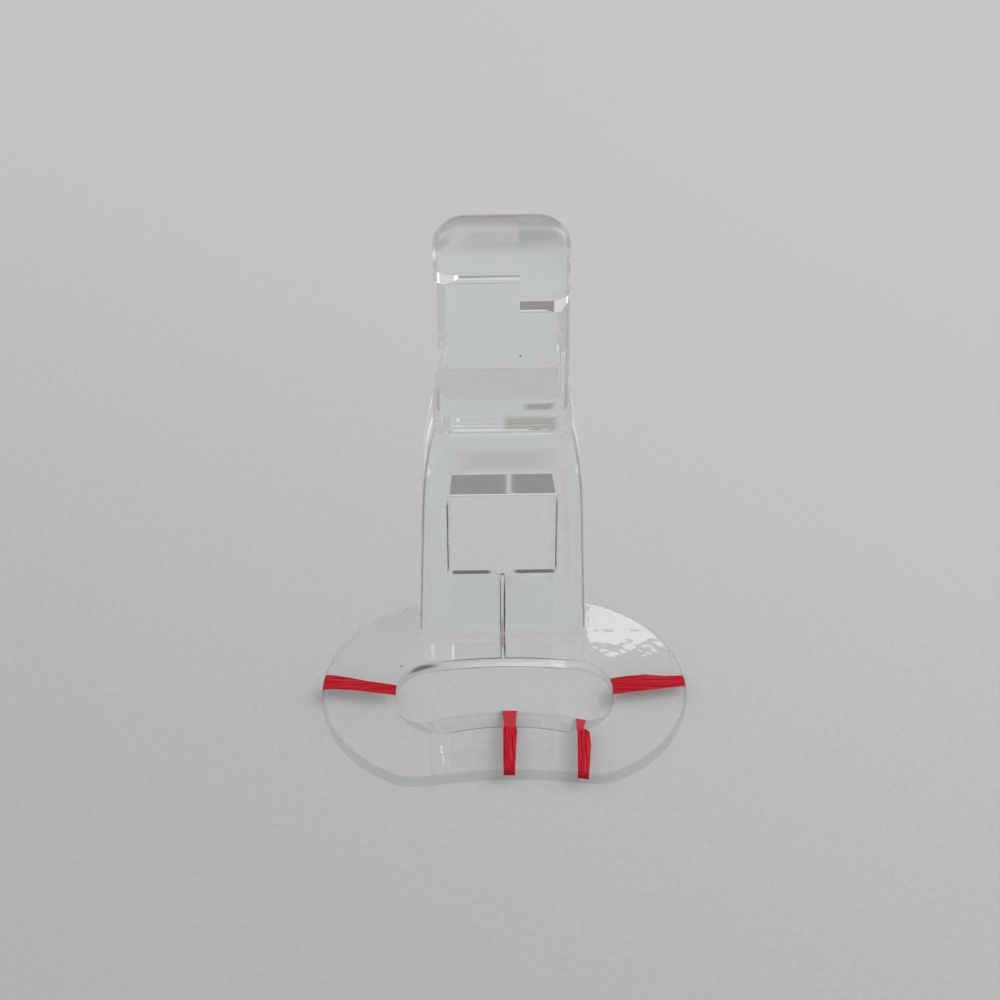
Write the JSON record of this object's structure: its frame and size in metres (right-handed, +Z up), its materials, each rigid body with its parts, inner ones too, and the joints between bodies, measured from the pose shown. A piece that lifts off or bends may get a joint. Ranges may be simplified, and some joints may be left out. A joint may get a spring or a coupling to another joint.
{
  "type": "sewing machine presser foot",
  "caption": "Clear one-piece free-motion quilting foot: oval base with kidney needle hole and red guide lines, windowed stem and high clamp shank.",
  "frame": {"origin": "middle of the needle hole on the plane of the sole, under the needle", "axes": "+X to the sewer's right, +Y to the back of the machine, +Z up along the stem"},
  "size_m": [0.0318, 0.0228, 0.0442],
  "materials": {
    "clear_plastic": "clear injection moulding, polished",
    "red_paint": "hand-brushed enamel"
  },
  "bodies": {
    "root": {"presser_foot": "clear_plastic", "red_guide_lines": "red_paint"}
  },
  "joints": []
}
